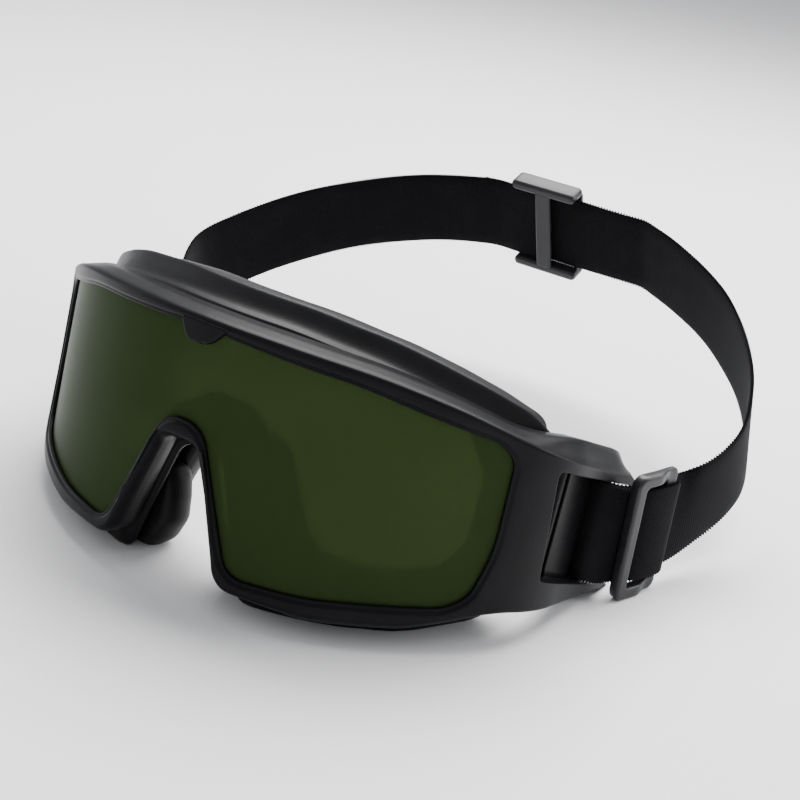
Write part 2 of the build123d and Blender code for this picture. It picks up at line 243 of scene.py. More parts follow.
def fill(loops, grid):
    """Triangles over a region bounded by closed loops, with grid points inside it."""
    edges, verts = [], []
    for loop in loops:
        base = len(verts)
        verts += [tuple(p) for p in loop]
        edges += [(base + i, base + (i + 1) % len(loop)) for i in range(len(loop))]
    allp = np.concatenate(loops)
    lo, hi = allp.min(0), allp.max(0)
    gx, gy = np.arange(lo[0] + grid / 2, hi[0], grid), np.arange(lo[1] + grid / 2, hi[1], grid)
    g = np.stack(np.meshgrid(gx, gy), -1).reshape(-1, 2)
    g = g[inside(g, loops)]
    near = np.min(np.linalg.norm(g[:, None] - allp[None], axis=2), axis=1)
    g = g[near > grid * 0.55]
    rim = len(verts)
    verts += [tuple(p) for p in g]
    v, _, f, ov, _, _ = delaunay_2d_cdt([Vector(p) for p in verts], edges, [], 0, 1e-5)
    pts = np.array([tuple(p) for p in v])
    first = [o[0] if o else -1 for o in ov]
    tris = [t for t in f if len(t) == 3]
    mid = np.array([pts[list(t)].mean(0) for t in tris])
    keep = inside(mid, loops)
    return pts, [t for t, k in zip(tris, keep) if k], first, rim


def slab(name, rings, place, grid, material):
    """Closed solid from rings: for each loop, a list of (2-D points, depth) from front to back."""
    verts, faces, index = [], [], []
    for loop in rings:
        rows = []
        for pts, depth in loop:
            rows.append(range(len(verts), len(verts) + len(pts)))
            verts += list(place(pts[:, 0], pts[:, 1], depth))
        for r0, r1 in zip(rows, rows[1:]):
            n = len(r0)
            faces += [(r0[i], r0[(i + 1) % n], r1[(i + 1) % n], r1[i]) for i in range(n)]
        index.append(rows)
    for end in (0, -1):
        loops = [loop[end][0] for loop in rings]
        owner = np.concatenate([np.array(rows[end]) for rows in index])
        depth = np.concatenate([np.broadcast_to(loop[end][1], len(loop[end][0])) for loop in rings])
        pts, tris, first, rim = fill(loops, grid)
        ids = {}
        extra = [i for i, f in enumerate(first) if not 0 <= f < rim]
        for i, f in enumerate(first):
            if 0 <= f < rim:
                ids[i] = int(owner[f])
        if extra:
            ref = np.concatenate(loops)
            d = [depth[np.argmin(np.linalg.norm(ref - pts[i], axis=1))] for i in extra]
            added = place(pts[extra][:, 0], pts[extra][:, 1], np.array(d))
            for i, p in zip(extra, added):
                ids[i] = len(verts)
                verts.append(p)
        faces += [tuple(ids[i] for i in t) for t in tris]
    return mesh_object(name, verts, faces, material)


def mesh_object(name, verts, faces, material, merge=0.01):
    """Mesh in the row frame from millimetres, closed up and facing outwards."""
    me = bpy.data.meshes.new(name)
    me.from_pydata([tuple(p) for p in np.asarray(verts, float) / 1000.0], [], faces)
    bm = bmesh.new()
    bm.from_mesh(me)
    bmesh.ops.remove_doubles(bm, verts=bm.verts, dist=merge / 1000.0)
    bmesh.ops.recalc_face_normals(bm, faces=bm.faces)
    bm.to_mesh(me)
    bm.free()
    for p in me.polygons:
        p.use_smooth = True
    ob = bpy.data.objects.new(name, me)
    bpy.context.scene.collection.objects.link(ob)
    me.materials.append(material)
    return ob


def offset(loop, normal, d):
    return loop + normal * np.broadcast_to(np.asarray(d, float), len(loop))[:, None]


# ---- shader expressions ---------------------------------------------------------------------
class Socket:
    """A node's output, or a number, that can be used in a plain expression."""

    def __init__(self, tree, link):
        self.tree, self.link = tree, link

    def math(self, op, *others, **settings):
        return self.tree.node("ShaderNodeMath", dict(operation=op, **settings),
                              {i: v for i, v in enumerate([self, *others])})[0]

    def __add__(self, o):
        return self.math("ADD", o)

    def __sub__(self, o):
        return self.math("SUBTRACT", o)

    def __mul__(self, o):
        return self.math("MULTIPLY", o)

    def __truediv__(self, o):
        return self.math("DIVIDE", o)

    def __pow__(self, o):
        return self.math("POWER", o)

    def __neg__(self):
        return self.math("MULTIPLY", -1.0)

    def __radd__(self, o):
        return self.math("ADD", o)

    def __rmul__(self, o):
        return self.math("MULTIPLY", o)

    def __rsub__(self, o):
        return self.tree.node("ShaderNodeMath", {"operation": "SUBTRACT"}, {0: o, 1: self})[0]

    def sine(self):
        return self.math("SINE")

    def between(self, lo, hi, a=0.0, b=1.0):
        return self.tree.node("ShaderNodeMapRange", {"interpolation_type": "SMOOTHSTEP"},
                              {"Value": self, "From Min": lo, "From Max": hi, "To Min": a, "To Max": b})[0]


class Shader:
    """A node material; node() makes any node from its settings and socket values."""

    def __init__(self, name):
        self.mat = bpy.data.materials.new(name)
        self.mat.use_nodes = True
        self.tree = self.mat.node_tree
        self.tree.nodes.clear()
        self.out = self.tree.nodes.new("ShaderNodeOutputMaterial")

    def node(self, kind, settings, values=()):
        n = self.tree.nodes.new(kind)
        for key, value in settings.items():
            if key == "stops":
                while len(n.color_ramp.elements) < len(value):
                    n.color_ramp.elements.new(0.5)
                for e, (pos, col) in zip(n.color_ramp.elements, value):
                    e.position, e.color = pos, (*col, 1.0)
            else:
                setattr(n, key, value)
        for key, value in dict(values).items():
            sock = n.inputs[key]
            if isinstance(value, Socket):
                self.tree.links.new(value.link, sock)
            else:
                sock.default_value = value
        return [Socket(self, o) for o in n.outputs]

    def noise(self, at, scale, detail=3.0, rough=0.55):
        return self.node("ShaderNodeTexNoise", {}, {"Vector": at, "Scale": scale, "Detail": detail,
                                                     "Roughness": rough})[0]

    def mix(self, factor, a, b, mode="MIX"):
        return self.node("ShaderNodeMix", {"data_type": "RGBA", "blend_type": mode},
                         {0: factor, 6: (*a, 1) if isinstance(a, tuple) else a,
                          7: (*b, 1) if isinstance(b, tuple) else b})[2]

    def place(self):
        return self.node("ShaderNodeTexCoord", {})[3]

    def uv(self):
        return self.node("ShaderNodeTexCoord", {})[2]

    def split(self, vector):
        return self.node("ShaderNodeSeparateXYZ", {}, {0: vector})

    def bump(self, height, strength, distance, normal=None):
        values = {"Strength": strength, "Distance": distance, "Height": height}
        if normal is not None:
            values["Normal"] = normal
        return self.node("ShaderNodeBump", {}, values)[0]

    def finish(self, **sockets):
        out = self.node("ShaderNodeBsdfPrincipled", {}, {k.replace("_", " "): v for k, v in sockets.items()})
        self.tree.links.new(out[0].link, self.out.inputs["Surface"])
        return self.mat


def moulded(name, dark, light, rough, grain, coat, shine):
    """Moulded black plastic: a fine spark-eroded grain with faint cloudiness and rubbed patches."""
    m = Shader(name)
    at = m.place()
    cloud = m.noise(at, 60.0, 4.0)
    speck = m.noise(at, 1700.0, 2.0)
    rub = m.noise(at, 220.0, 5.0, 0.65)
    tone = (cloud * 0.7 + speck * 0.3).between(0.3, 0.7)
    colour = m.mix(tone, dark, light)
    roughness = (rough - 0.07) + 0.10 * rub + 0.05 * cloud
    height = speck * 0.7 + rub * 0.3
    return m.finish(Base_Color=colour, Roughness=roughness, Normal=m.bump(height, grain, 0.00012),
                    Coat_Weight=coat, Coat_Roughness=0.2, Specular_IOR_Level=shine)


def woven(name):
    """Black knitted elastic: fine cords across the band, soft nap, and painted shade that darkens the colour in
    the weave's furrows and the nap's low spots.
    """
    m = Shader(name)
    u, v, _ = m.split(m.uv())
    cords = (u * (2 * pi / 0.78)).sine() * 0.5 + 0.5
    wales = (v * (2 * pi / 0.7) + (u * (2 * pi / 0.78)).sine() * 0.8).sine() * 0.5 + 0.5
    at = m.place()
    nap = m.noise(at, 2600.0, 3.0, 0.7)
    worn = m.noise(at, 70.0, 4.0)
    lint = m.noise(at, 900.0, 2.0).between(0.66, 0.78)
    weave = cords * 0.55 + wales * 0.45
    # painted shade: the colour follows the weave and nap relief, darker in the furrows and low spots, plus fine
    # random tone from the nap
    tone = (weave * 0.3 + nap * 0.7).between(0.3, 0.75)
    base = m.mix(tone, (0.0014, 0.0014, 0.0017), (0.0060, 0.0060, 0.0069))
    base = m.mix(lint * 0.35, base, (0.028, 0.028, 0.031))
    base = m.mix(worn.between(0.45, 0.75) * 0.3, base, (0.008, 0.008, 0.009))
    height = weave * 0.35 + nap * 0.65
    return m.finish(Base_Color=base, Roughness=0.88 + nap * 0.08, Normal=m.bump(height, 0.55, 0.0003),
                    Sheen_Weight=0.05, Sheen_Roughness=0.5, Sheen_Tint=(0.6, 0.6, 0.65, 1.0),
                    Specular_IOR_Level=0.06)


def green_window():
    """Dark green welding window: dyed through, faintly hazed on its surface."""
    m = Shader("dark_green_window")
    at = m.place()
    haze = m.noise(at, 25.0, 3.0)
    dust = m.noise(at, 1300.0, 2.0).between(0.70, 0.80)
    colour = m.mix(haze.between(0.35, 0.7), (0.0305, 0.0490, 0.0150), (0.0330, 0.0520, 0.0165))
    colour = m.mix(dust * 0.08, colour, (0.05, 0.065, 0.04))
    return m.finish(Base_Color=colour, Roughness=0.30 + haze * 0.06 + dust * 0.1,
                    Transmission_Weight=0.35, IOR=1.12, Specular_IOR_Level=0.05)


matt_black = moulded("matt_moulded_black", (0.0034, 0.0034, 0.0040), (0.0056, 0.0056, 0.0066),
                     rough=0.36, grain=0.35, coat=0.0, shine=0.09)
soft_black = moulded("soft_body_black", (0.0038, 0.0038, 0.0044), (0.0062, 0.0062, 0.0072),
                     rough=0.40, grain=0.4, coat=0.0, shine=0.14)
seal_black = moulded("seal_elastomer", (0.0048, 0.0048, 0.0055), (0.0075, 0.0075, 0.0085),
                     rough=0.48, grain=0.45, coat=0.0, shine=0.14)
gloss_black = moulded("polished_insert", (0.0016, 0.0016, 0.0020), (0.0026, 0.0026, 0.0032),
                      rough=0.20, grain=0.05, coat=0.02, shine=0.06)
grey_nylon = moulded("satin_grey_nylon", (0.014, 0.014, 0.0155), (0.021, 0.021, 0.023),
                     rough=0.34, grain=0.4, coat=0.0, shine=0.26)
elastic = woven("woven_elastic")
window_green = green_window()


# ---- bezel with temple arms -----------------------------------------------------------------
def window_outline(grow=0.0, step=1.2):
    """The window's visible edge in front view, grown all round."""
    g = grow
    pts = [(0, 25.1 + g), (45, 22.3 + g), (77.6 + g, 14.6 + g), (78.0 + g, -14), (75 + g, -31 - g),
           (42, -36.4 - g), (21.5 - g, -37.2 - g), (6.4 - g, -0.3 - g)]
    radii = [0, 80, 8 + g, 60, 9 + g, 60, 7 + g, 8.5 - g]
    loop = rounded(*mirrored(pts, radii), step=step)
    return np.stack([s_of_x(loop[:, 0], 2.0), loop[:, 1]], 1)


def slot_edge(y, upper=True):
    y0, z0 = (47.5, 9.8) if upper else (51.0, -22.0)
    return z0 + (y - y0) * tan(radians(-12.3))


def bezel_outline():
    """Outer edge of the bezel unrolled round the face, right half then left, with edge kinds."""
    top = smooth_line([(0, 28.1), (26.5, 27.6), (55.7, 25.5), (70.9, 22.8), (94.9, 16.4), (106, 13.5),
                       (122, 9.6), (140, 5.4), (152.5, 2.6)], 1.4)
    sy = lambda y: float(s_of_y(y))
    prong = rounded([(152.5, 2.6), (sy(99.2), 0.2), (sy(99.2), slot_edge(99.2)),
                     (sy(94), slot_edge(94))], [0, 1.2, 0.8, 0], 0.6, False)[1:]
    slot = rounded([(sy(94), slot_edge(94)), (sy(47.5), slot_edge(47.5)), (sy(51.0), slot_edge(51.0, False)),
                    (sy(93), slot_edge(93, False))], [0, 1.6, 1.6, 0], 1.4, False)[1:]
    prong2 = rounded([(sy(93), slot_edge(93, False)), (sy(98.9), slot_edge(98.9, False) + 0.1),
                      (sy(98.9), -33.2), (sy(92), -33.1)], [0, 0.3, 0.3, 0], 0.6, False)[1:]
    low = rounded([(sy(92), -33.1), (sy(62), -31.4), (96, -31.0), (71.6, -38.3), (45.5, -41.6), (18.6, -41.2),
                   (6.3, -6.6), (-0.01, -6.6)], [0, 40, 40, 40, 45, 7.5, 6.2, 0], 1.3, False)[1:-1]
    parts = [("top", top), ("prong", prong), ("slot", slot), ("tip", prong2), ("low", low)]
    right = np.concatenate([p for k, p in parts])
    kinds = sum([[k] * len(p) for k, p in parts], [])
    keep = right[:, 0] > 0.01
    left = right[keep][::-1] * np.array([-1, 1])
    left_kinds = [k for k, q in zip(kinds, keep) if q][::-1]
    loop = np.concatenate([right, left])
    return loop, np.array(kinds + left_kinds)


def bezel():
    loop, kind = bezel_outline()
    n = outward(loop, 1)
    a, z = np.abs(loop[:, 0]), loop[:, 1]
    nose = (kind == "low") & (a < 19.5) & (z > -40)
    low = kind == "low"
    top = kind == "top"
    tip = (kind == "prong") | (kind == "tip")
    slot = kind == "slot"
    chamfer = np.select([nose, low & (a < 90), low, top, tip, slot], [2.0, 1.3, 1.0, 0.9, 0.35, 0.3])
    chamfer = soften(chamfer, 3)
    drop = np.select([nose, low & (a < 90), low, top, tip, slot], [3.3, 1.0, 0.9, 0.7, 0.35, 0.3])
    drop = soften(drop, 3)
    arm = np.clip((a - 88) / 30, 0, 1)
    arm = arm * arm * (3 - 2 * arm)
    fade = np.clip((155.0 - a) / 9.0, 0, 1)
    rise4 = np.where(top, (1 - arm) * 4 * tan(radians(11)) + arm * 5.8, 0) * np.where(top, fade, 0)
    rise9 = np.where(top, (1 - arm) * 9 * tan(radians(11)) + arm * 5.6, 0) * np.where(top, fade, 0)
    under = np.clip((98 - a) / 12, 0, 1) * np.clip((a - 24) / 16, 0, 1)
    rise4 += np.where(low & ~nose, 4 * 0.42 * under, 0)
    rise9 += np.where(low & ~nose, 9 * 0.42 * under, 0)
    rise4, rise9 = soften(rise4, 2), soften(rise9, 2)
    outer = [
        (offset(loop, n, -chamfer - 0.35), 0.0), (offset(loop, n, -chamfer), 0.0),
        (offset(loop, n, -chamfer * 0.62), drop * 0.16), (offset(loop, n, -chamfer * 0.27), drop * 0.48),
        (offset(loop, n, -chamfer * 0.06), drop * 0.85), (offset(loop, n, 0.03 + rise4 * 0.3), drop + 0.5),
        (offset(loop, n, rise4 * 0.72), np.maximum(3.0, drop + 0.9)),
        (offset(loop, n, rise4 * 0.97), np.maximum(3.8, drop + 1.3)),
        (offset(loop, n, rise4 + (rise9 - rise4) * 0.3), 5.2),
        (offset(loop, n, rise9 - 0.15), 8.4), (offset(loop, n, rise9 - 0.7), 9.0),
        (offset(loop, n, rise9 - 1.2), 9.0)]
    win = window_outline()
    m = outward(win, -1)
    hole = [(offset(win, m, -1.75), 0.0), (offset(win, m, -1.5), 0.06), (offset(win, m, -1.2), 0.42),
            (offset(win, m, -0.95), 0.72), (offset(win, m, -0.78), 0.78), (offset(win, m, -0.6), 0.70),
            (offset(win, m, -0.38), 0.66), (offset(win, m, -0.16), 0.78), (offset(win, m, -0.02), 1.1),
            (offset(win, m, 0.0), 1.75),
            (offset(win, m, -0.1), 1.88), (offset(win, m, -1.35), 1.9), (offset(win, m, -1.45), 2.1),
            (offset(win, m, -1.45), 8.6), (offset(win, m, -1.8), 9.0), (offset(win, m, -2.3), 9.0)]
    place = lambda s, z, d: rest_clear(lean_back(wrap(s, z, d)))
    return slab("bezel_with_arms", [outer, hole], place, 3.2, matt_black)


front = bezel()
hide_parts("front_frame")
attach(front, "goggles")

nodes["lens"].data.materials.clear()
nodes["lens"].data.materials.append(window_green)
for p in nodes["lens"].data.polygons:
    p.material_index = 0


def bevel_rings(loop, n, r, near, far, back=None, support=0.35):
    """Straight wall between two depths with rounded edges of radius r in front and back behind."""
    q = r if back is None else back
    rings = [(offset(loop, n, -r - support), near)]
    turns = (0, 0.4, 0.8, 1.2, pi / 2)
    rings += [(offset(loop, n, -r * (1 - np.sin(a))), near + r * (1 - np.cos(a))) for a in turns]
    rings += [(offset(loop, n, -q * (1 - np.cos(a))), far - q * (1 - np.sin(a))) for a in turns]
    rings += [(offset(loop, n, -q - support), far)]
    return rings


def join(name, *obs):
    """One piece from several meshes."""
    bm = bmesh.new()
    mats = []
    for ob in obs:
        base = len(bm.faces)
        slot = len(mats)
        mats += [m for m in ob.data.materials]
        bm.from_mesh(ob.data)
        bm.faces.ensure_lookup_table()
        for f in bm.faces[base:]:
            f.material_index += slot
    me = bpy.data.meshes.new(name)
    bm.to_mesh(me)
    bm.free()
    for m in mats:
        me.materials.append(m)
    for ob in obs:
        old = ob.data
        bpy.data.objects.remove(ob)
        bpy.data.meshes.remove(old)
    ob = bpy.data.objects.new(name, me)
    bpy.context.scene.collection.objects.link(ob)
    return ob


def settle(ob, body, slot, *replaced):
    if replaced:
        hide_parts(*replaced)
    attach(ob, body)
    return ob


# ---- tongue over the top of the window -----------------------------------------------------
def window_tongue():
    pts = [(-6.6, 27.0), (-5.8, 24.6), (-4.2, 21.9), (-2.8, 20.8), (1.2, 20.7), (2.2, 21.3), (3.2, 21.1),
           (4.8, 22.2), (7.4, 24.9), (9.2, 26.8)]
    loop = rounded(pts, [0, 1.5, 2.2, 1.2, 0.6, 0.4, 0.8, 1.8, 2.0, 0], 0.5)
    rings = bevel_rings(loop, outward(loop, 1), 0.5, -0.35, 1.9, 0.1, 0.3)
    return slab("window_tongue", [rings], lambda s, z, d: lean_back(wrap(s, z, d)), 2.0, matt_black)


settle(window_tongue(), "goggles", "frame")


# ---- face body and seal ---------------------------------------------------------------------
def edge_zones(loop):
    """Which part of a front-view outline each point is on: top, side, low, nose (0 to 1 each)."""
    a, z = np.abs(loop[:, 0]), loop[:, 1]
    n = outward(loop, 1)
    nose = ((a < 20.5) & (z < -8) & (z > -44)) | ((a < 9) & (z < 0))
    top = (z > 12) & ~nose
    low = (n[:, 1] < -0.5) & ~nose & (z < 0)
    side = ~(nose | top | low)
    return [soften(k.astype(float), 3) for k in (top, side, low, nose)]


def body_place(near, far, depth0, depth1):
    """Front-view x, z with a share of the way between two curved walls to the row frame."""
    def place(x, z, u):
        ax = np.minimum(np.abs(x), 88.0)
        y0 = FACE_C - np.sqrt(np.maximum((FACE_R - near) ** 2 - ax ** 2, 900.0)) + depth0
        y1 = FACE_C - np.sqrt(np.maximum((FACE_R - far) ** 2 - ax ** 2, 900.0)) + depth1
        return rest_clear(lean_back(np.stack([x, y0 + (y1 - y0) * u, z * np.ones_like(x)], -1)))
    return place


def profile(zones, u, *curves):
    """Offset at share u for each outline point, mixed from one curve per zone."""
    total = sum(zones)
    return sum(k * np.interp(u, *zip(*c)) for k, c in zip(zones, curves)) / total


def face_body():
    pts = [(0, 35.9), (21, 35.8), (43, 33.2), (54, 30.2), (65, 26.2), (74.5, 21.4), (79.2, 15.5), (79.3, -20),
           (76.5, -36.6), (59.8, -44.4), (40, -48.0), (19.3, -48.2), (7.0, -10.0)]
    radii = [0, 120, 80, 60, 60, 14, 5, 30, 9, 40, 40, 7, 6.8]
    loop = rounded(*mirrored(pts, radii), step=1.5)
    n = outward(loop, 1)
    zones = edge_zones(loop)
    top = [(0, -7.6), (0.03, -6.0), (0.10, -5.6), (0.22, -5.0), (0.34, -3.7), (0.44, -2.0), (0.52, -0.6),
           (0.56, -0.15), (0.62, 0.0), (0.70, -0.25), (0.80, -0.7), (0.84, -1.15), (0.87, -1.2), (0.9, -0.75),
           (0.95, -0.8), (0.985, -1.2), (1.0, -2.2)]
    side = [(0, -2.5), (0.06, -0.9), (0.2, -0.2), (0.35, 0.0), (0.9, 0.0), (0.97, -0.4), (1.0, -1.4)]
    low = [(0, -5.4), (0.06, -3.8), (0.12, -1.6), (0.2, -0.3), (0.28, 0.0), (0.5, -0.3), (0.85, -1.4),
           (0.96, -2.0), (1, -3.2)]
    nose = [(0, -3.6), (0.06, -3.4), (0.12, -2.4), (0.17, -0.9), (0.22, -0.2), (0.28, 0.0), (0.33, -0.3),
            (0.4, -1.5), (0.5, -3.0), (0.65, -4.0), (1, -5.0)]
    stations = [0, 0.03, 0.06, 0.1, 0.16, 0.22, 0.28, 0.34, 0.39, 0.44, 0.48, 0.52, 0.56, 0.62, 0.7, 0.8, 0.84,
                0.87, 0.9, 0.95, 0.985, 1.0]
    outer = [(offset(loop, n, profile(zones, u, top, side, low, nose)), u) for u in stations]
    hole_pts = [(0, 23.5), (45, 20.5), (73, 13.5), (74.5, -14), (71, -28), (42, -34.2), (24.5, -34.6),
                (9.4, 2.2)]
    hole = rounded(*mirrored(hole_pts, [0, 80, 9, 60, 10, 60, 6, 8]), step=1.8)
    m = outward(hole, -1)
    inner = [(offset(hole, m, d), u) for d, u in ((-0.6, 0), (0, 0.05), (0.2, 0.5), (1.6, 0.95), (1.2, 1.0))]
    return slab("face_body", [outer, inner], body_place(9.3, 0, 0, 22), 3.5, soft_black)


def face_seal():
    pts = [(0, 34.0), (21, 33.9), (42, 31.2), (54, 28.0), (64, 24.2), (74.3, 18.5), (75.6, -20), (72, -34.5),
           (56, -41.0), (40, -44.2), (22.5, -46.0), (16.5, -40.0), (12.6, -28.0), (5.6, -13.0)]
    radii = [0, 120, 70, 60, 40, 7, 30, 10, 30, 30, 7, 9, 20, 5.5]
    loop = rounded(*mirrored(pts, radii), step=1.4)
    n = outward(loop, 1)
    zones = edge_zones(loop)
    top = [(0, -2.4), (0.08, -1.0), (0.2, -0.1), (0.35, 0.1), (0.8, -0.5), (0.93, -1.2), (1, -2.6)]
    side = [(0, -2.0), (0.1, -0.5), (0.3, 0), (0.8, -0.4), (1, -2.2)]
    low = [(0, -2.6), (0.1, -1.0), (0.3, 0.2), (0.6, 0.3), (0.85, -0.8), (1, -3.0)]
    nose = [(0, -4.6), (0.1, -3.6), (0.3, -2.6), (0.55, -2.6), (0.8, -3.4), (1, -5.6)]
    stations = [0, 0.04, 0.1, 0.16, 0.22, 0.3, 0.38, 0.46, 0.55, 0.63, 0.7, 0.78, 0.85, 0.93, 1.0]
    outer = [(offset(loop, n, profile(zones, u, top, side, low, nose)), u) for u in stations]
    hole_pts = [(0, 25), (40, 21), (60, 14), (66, 2), (66, -18), (60, -28.5), (44, -33.5), (27, -33),
                (13.5, -5)]
    hole = rounded(*mirrored(hole_pts, [0, 60, 8, 6, 10, 8, 14, 8, 8]), step=1.8)
    m = outward(hole, -1)
    lip = ((-1.2, 0), (0, 0.1), (0.2, 0.5), (0, 0.75), (-0.8, 0.92), (-2.0, 1))
    inner = [(offset(hole, m, d), u) for d, u in lip]
    ring = slab("seal_ring", [outer, inner], body_place(0, 0, 22.3, 34.0), 3.2, seal_black)
    return join("face_seal_soft", ring, nose_flap(1), nose_flap(-1))


def nose_flap(side):
    """Soft lobe that bulges in beside the nose, in front of the face seal."""
    pts = [(13.4, -20.0), (16.5, -21.5), (21.4, -29), (25.8, -40), (23.8, -46.4), (17.4, -47.2), (11.4, -42.8),
           (8.6, -36.5), (9.4, -29.5), (10.8, -24)]
    loop = rounded([(side * x, z) for x, z in pts], [3, 4, 12, 5, 5, 6, 5, 6, 9, 5], 0.9)
    n = outward(loop, 1)
    rings = []
    for u in np.linspace(0, 1, 15):
        swell = 1 - (2 * u - 0.92) ** 2 / 1.18
        rings.append((offset(loop, n, -4.6 + 4.9 * np.sqrt(max(swell, 0.0))), 13.4 + 12.0 * u))

    def place(x, z, y):
        x, z, y = np.broadcast_arrays(x, z, y)
        return rest_clear(lean_back(np.stack([x, y + 0.004 * x * x, z], -1)))
    return slab("flap", [rings], place, 1.6, seal_black)


settle(face_body(), "goggles", "body", "rear_frame")
settle(face_seal(), "goggles", "seal", "face_seal")


# ---- temple inserts -------------------------------------------------------------------------
def column(name, outline, side, low, high, material, step=0.7):
    """Upright prism in the slanted temple slot: outline (y, x), low and high are heights at y."""
    loop = resample(np.array(outline, float), step)
    rows = []
    shares = (0.0, 0.01, 0.2, 0.4, 0.6, 0.8, 0.99, 1.0)
    for k in shares:
        y, x = loop[:, 0], loop[:, 1]
        start = 46.8 + 3.5 * (1 - k)
        flush = ARM_X - TEMPLE_R + TEMPLE_R * np.sqrt(1 - ((ARM_Y - start) / TEMPLE_R) ** 2) - 0.06
        ahead = np.clip((61.3 - y) / (61.3 - 47.7), 0, 1)
        deep = np.clip((x - 83.05) / (86.2 - 83.05), 0, 9) * (x > 81)
        x = np.where(ahead > 0, np.where(x > 81, 83.05 + deep * (flush - 83.05), x), x)
        y = y + ahead * (start - 47.7)
        zl, zh = low(y), high(y)
        rows.append(lean_back(np.stack([side * x, y, zl + (zh - zl) * k], -1)))
    n, m = len(loop), len(shares)
    verts = np.concatenate(rows)
    faces = [(r * n + i, r * n + (i + 1) % n, (r + 1) * n + (i + 1) % n, (r + 1) * n + i)
             for r in range(m - 1) for i in range(n)]
    faces += [tuple(range(n)), tuple(range((m - 1) * n, m * n))]
    return mesh_object(name, verts, faces, material)


def temple_insert(side, name):
    ramp = smooth_line([(47.7, 86.2), (50, 85.0), (53, 83.9), (56, 83.3), (59, 83.05), (61.3, 83.1)], 0.6)
    panel = [(61.45, 82.6), (61.6, 83.5), (61.9, 83.75), (69, 84.1), (76.9, 84.5), (77.35, 84.4), (77.55, 83.9)]
    outline = [*map(tuple, ramp), *panel, (77.55, 80.3), (47.7, 80.3)]
    lo = lambda y: slot_edge(y, False) - 0.05
    hi = lambda y: slot_edge(y) + 0.05
    body = column("insert", outline, side, lo, hi, gloss_black)
    bar = column("bar", [(80.4, 84.5), (81, 84.2), (82.8, 84.2), (83.4, 84.8), (83.4, 85.6), (82.8, 86.2),
                         (81, 86.2), (80.4, 85.6)], side, lo, hi, gloss_black)
    web = column("web", [(77.4, 80.3), (77.4, 81.3), (93.0, 81.3), (93.0, 80.3)], side, lo, hi, matt_black)
    parts = (body, bar, web)
    ob = join(f"temple_insert_{name}", *parts)
    ob.data.set_sharp_from_angle(angle=radians(32))
    return ob


for side, name in ((1, "left"), (-1, "right")):
    settle(temple_insert(side, name), "goggles", "insert", f"strap_anchor_{name}")


# ---- straps ---------------------------------------------------------------------------------
STRAP_WIDTH = 30.0
LOOP_CENTRE = (-4.0, 22.0)
LOOP_HALF = (112.0, 113.0)
SLOPE = radians(22)
ROOT_Y, ROOT_Z = 95.0, 13.3
START = (90.9, -9.7)
SPREAD = 0.316
REACH = 18.4
JOIN = radians(16)
FLAT_HALF = 31.0
RISE = (1.0, 34.0)
SLIDER_X = -12.0
FLAT_ANGLE = pi / 2 - np.arcsin(FLAT_HALF / LOOP_HALF[0])
FLAT_E = LOOP_CENTRE[1] + LOOP_HALF[1] * np.sin(FLAT_ANGLE)


def loop_point(angle, side):
    return (LOOP_CENTRE[0] + side * LOOP_HALF[0] * np.cos(angle),
            LOOP_CENTRE[1] + LOOP_HALF[1] * np.sin(angle))


def raise_to(e):
    if e <= RISE[0]:
        return 20.0
    if e >= RISE[1]:
        return ROOT_Z + e * sin(SLOPE)
    top = ROOT_Z + RISE[1] * sin(SLOPE)
    u = (e - RISE[0]) / (RISE[1] - RISE[0])
    return 20.0 + (top - 20.0) * u * u


def tip_over(e):
    u = min(max((e - RISE[0]) / (RISE[1] - RISE[0]), 0.0), 1.0)
    return SLOPE * u * u * (3 - 2 * u)


def spot(x, e):
    back = e if e < REACH else REACH + (e - REACH) * cos(SLOPE)
    return np.array([x, ROOT_Y + back, raise_to(e)])


def beside(side, s, lift):
    """Point s along the doubled strap beside the temple, lift outwards from its middle."""
    along = np.array([side * SPREAD, 1.0, 0.0])
    along /= np.linalg.norm(along)
    out = np.array([side * along[1], -side * along[0], 0.0])
    return np.array([side * START[0], ROOT_Y + START[1], 20.0]) + along * s + out * lift


def in_slot(side, y, x):
    """Strap middle and its upward direction at a plan point inside the slanted slot."""
    z = 0.5 * (slot_edge(y) + slot_edge(y, False))
    p = lean_back(np.array([side * x, y, z])) - np.array([ROW_X, ROW_Y, 0])
    return p, np.array([0, sin(LEAN), cos(LEAN)])


def strap_stations(side, shift):
    """Middle points and upward directions of one strap: buckle, round the temple bar, round the head."""
    up = np.array([0, 0, 1.0])
    rows = [(beside(side, s, 0.66), up) for s in (16.5, 12, 8, 4, 1)]
    round_bar = ((81.9, 88.0), (79.7, 86.2), (79.4, 84.4), (80.3, 83.15), (82, 83.1), (84.0, 83.2),
                 (84.9, 84.4), (86.3, 87.4))
    rows += [in_slot(side, y, x) for y, x in round_bar]
    rows += [(beside(side, s, -0.66), up) for s in (3, 8, 14, 20, 25.5)]
    end = (side * (START[0] + SPREAD * (REACH - START[1])), REACH)
    join_at = loop_point(JOIN, side)
    span = join_at[1] - end[1]
    t0, t1 = (side * SPREAD * span, span), (-side * tan(JOIN) * span, span)
    route = []
    for i in range(1, 6):
        u = i / 6
        h = (2 * u ** 3 - 3 * u ** 2 + 1, u ** 3 - 2 * u ** 2 + u, 3 * u ** 2 - 2 * u ** 3, u ** 3 - u ** 2)
        route.append(tuple(h[0] * end[k] + h[1] * t0[k] + h[2] * join_at[k] + h[3] * t1[k] for k in (0, 1)))
    for i in range(15):
        route.append(loop_point(JOIN + (FLAT_ANGLE - JOIN) * i / 14, side))
    n = len(route)
    for i, (x, e) in enumerate(route):
        k = np.interp(i, [n - 4, n - 1], [0, 1])
        lean = tip_over(e)
        rows.append((spot(x, e + shift * k), np.array([0, -sin(lean), cos(lean)])))
    last = SLIDER_X - 27 if side > 0 else SLIDER_X + 1
    for x in np.linspace(side * (FLAT_HALF - 8), last, 6):
        rows.append((spot(x, FLAT_E + shift), np.array([0, -sin(SLOPE), cos(SLOPE)])))
    return rows


